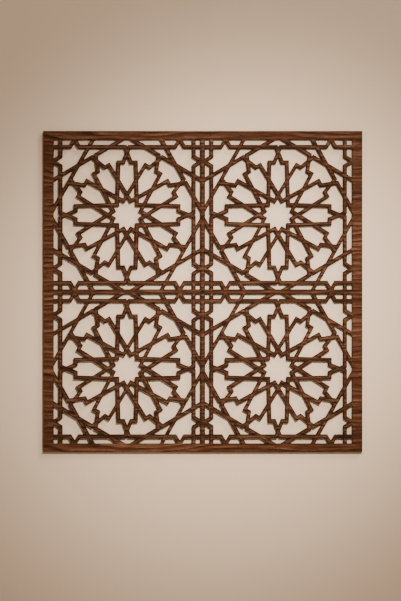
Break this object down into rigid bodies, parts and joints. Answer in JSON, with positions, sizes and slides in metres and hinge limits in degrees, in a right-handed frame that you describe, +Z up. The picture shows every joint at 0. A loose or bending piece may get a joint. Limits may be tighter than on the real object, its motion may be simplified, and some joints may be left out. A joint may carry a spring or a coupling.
{
  "type": "decorative ceiling panel",
  "caption": "Square fretwork ceiling panel of dark wood, pierced with interlaced star rosettes in a plain frame, and fixed by a screw at its centre.",
  "frame": {"origin": "centre of the panel's back face, where the fixing screw passes through it", "axes": "+Y out of the back face into the wall or ceiling, +Z up the panel as pictured, +X to its right seen from the front"},
  "size_m": [0.6, 0.0102, 0.604],
  "materials": {
    "dark_walnut": "satin dark walnut stain, open straight grain",
    "dark_steel": "black phosphated steel"
  },
  "bodies": {
    "root": {"fretwork_panel": "dark_walnut", "centre_screw": "dark_steel"}
  },
  "joints": []
}
